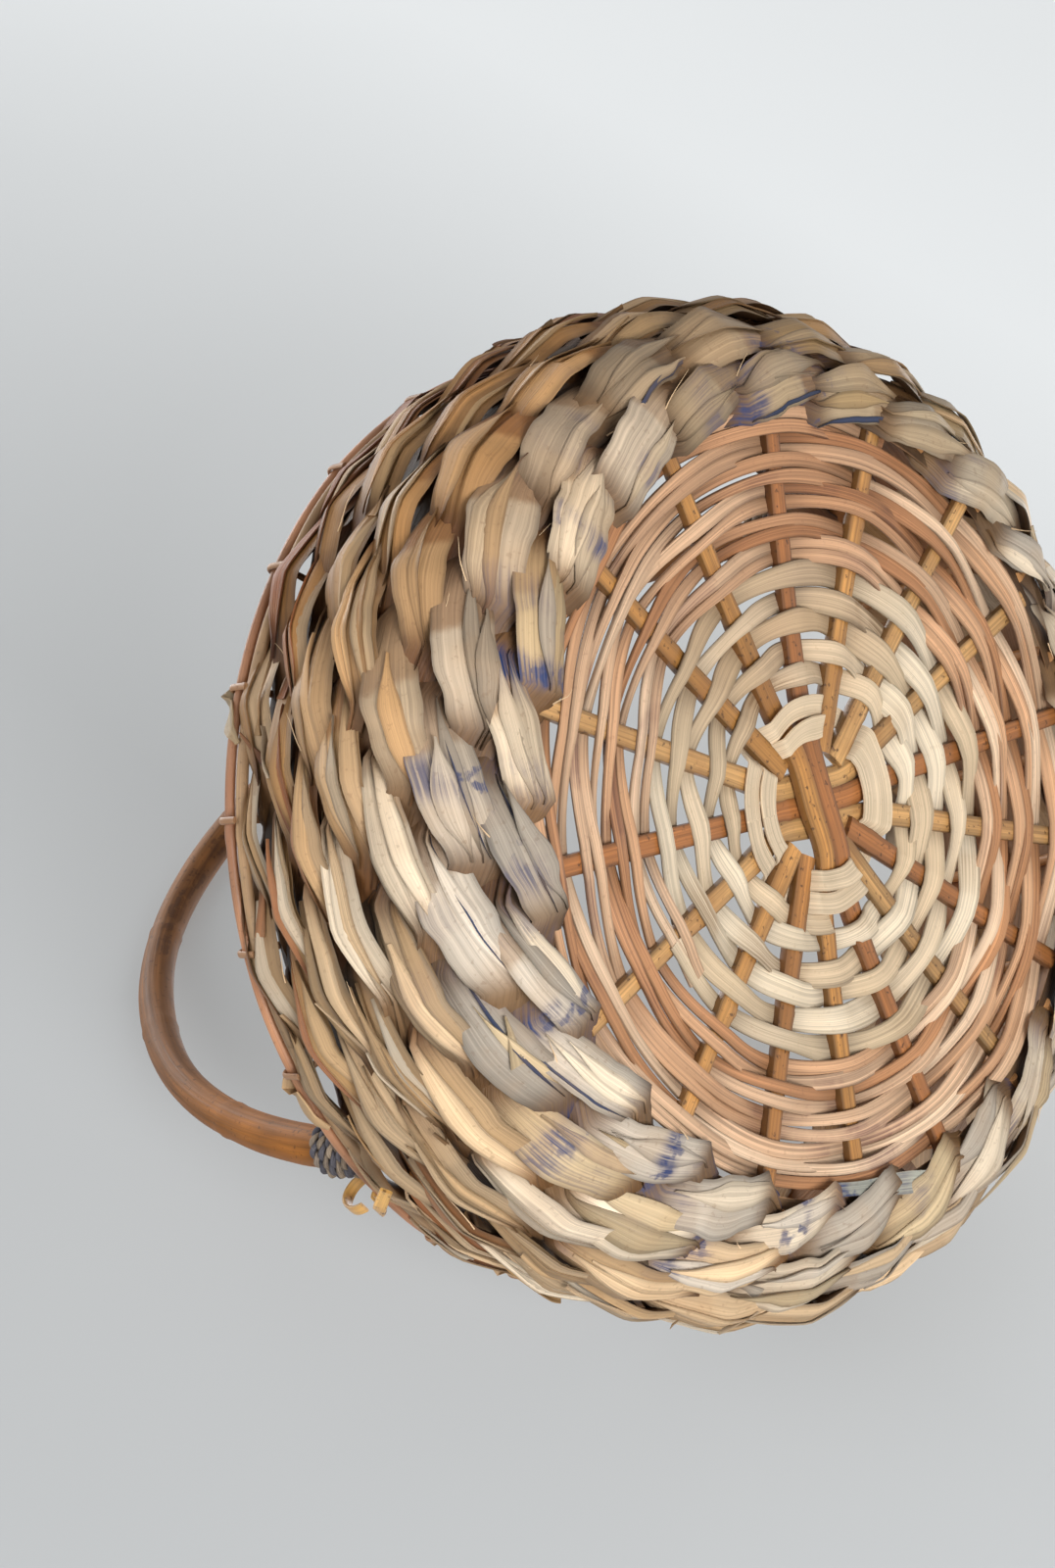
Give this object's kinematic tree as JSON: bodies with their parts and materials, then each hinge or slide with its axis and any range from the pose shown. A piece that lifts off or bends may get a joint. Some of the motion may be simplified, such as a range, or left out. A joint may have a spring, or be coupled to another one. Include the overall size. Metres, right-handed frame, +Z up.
{
  "type": "handled basket",
  "caption": "Round woven basket with a cane base, a bulging wall of twined leaf, a thin cane rim and one tall fixed bow handle for carrying.",
  "frame": {"origin": "middle of the foot, on the surface that the basket stands on", "axes": "+Z up towards the mouth and the handle, the handle's ends on -X and +X"},
  "size_m": [0.2621, 0.2623, 0.2684],
  "materials": {
    "stick_cane": "varnished rattan, orange brown, satin",
    "pale_cane": "flat ivory cane, matt with fine fibre lines",
    "red_cane": "flat pinkish tan cane, matt with grey streaks",
    "stake_cane": "round brown cane, satin",
    "dry_leaf": "dry papery leaf, straw to tan with blue grey stains near the base",
    "red_rim_cane": "thin reddish cane, satin",
    "grey_rim_cane": "thin weathered greyish cane",
    "handle_cane": "thick bent cane, brown, worn dark at the top",
    "cord": "grey twisted fibre cord"
  },
  "bodies": {
    "root": {"base_cross_stick_1": "stick_cane", "base_cross_stick_2": "stick_cane", "base_through_stick_1": "stick_cane", "base_through_stick_2": "stick_cane", "base_through_stick_3": "stick_cane", "base_half_stick_1": "stick_cane", "base_half_stick_2": "stick_cane", "base_half_stick_3": "stick_cane", "base_half_stick_4": "stick_cane", "base_half_stick_5": "stick_cane", "base_half_stick_6": "stick_cane", "base_half_stick_7": "stick_cane", "inner_base_weaver": "pale_cane", "outer_base_weaver": "red_cane", "hub_binding": "pale_cane", "side_stake_01": "stake_cane", "side_stake_02": "stake_cane", "side_stake_03": "stake_cane", "side_stake_04": "stake_cane", "side_stake_05": "stake_cane", "side_stake_06": "stake_cane", "side_stake_07": "stake_cane", "side_stake_08": "stake_cane", "side_stake_09": "stake_cane", "side_stake_10": "stake_cane", "side_stake_11": "stake_cane", "side_stake_12": "stake_cane", "side_stake_13": "stake_cane", "side_stake_14": "stake_cane", "side_stake_15": "stake_cane", "side_stake_16": "stake_cane", "side_stake_17": "stake_cane", "wall_row_1_strand_a": "dry_leaf", "wall_row_1_strand_b": "dry_leaf", "wall_row_2_strand_a": "dry_leaf", "wall_row_2_strand_b": "dry_leaf", "wall_row_3_strand_a": "dry_leaf", "wall_row_3_strand_b": "dry_leaf", "wall_row_4_strand_a": "dry_leaf", "wall_row_4_strand_b": "dry_leaf", "wall_row_5_strand_a": "dry_leaf", "wall_row_5_strand_b": "dry_leaf", "wall_row_6_strand_a": "dry_leaf", "wall_row_6_strand_b": "dry_leaf", "wall_row_7_strand_a": "dry_leaf", "wall_row_7_strand_b": "dry_leaf", "rim_hoop_upper": "red_rim_cane", "rim_hoop_lower": "grey_rim_cane", "handle": "handle_cane", "handle_lashing_left": "cord", "handle_lashing_right": "cord", "rim_tie_left": "stick_cane", "rim_tie_right": "stick_cane"}
  },
  "joints": []
}
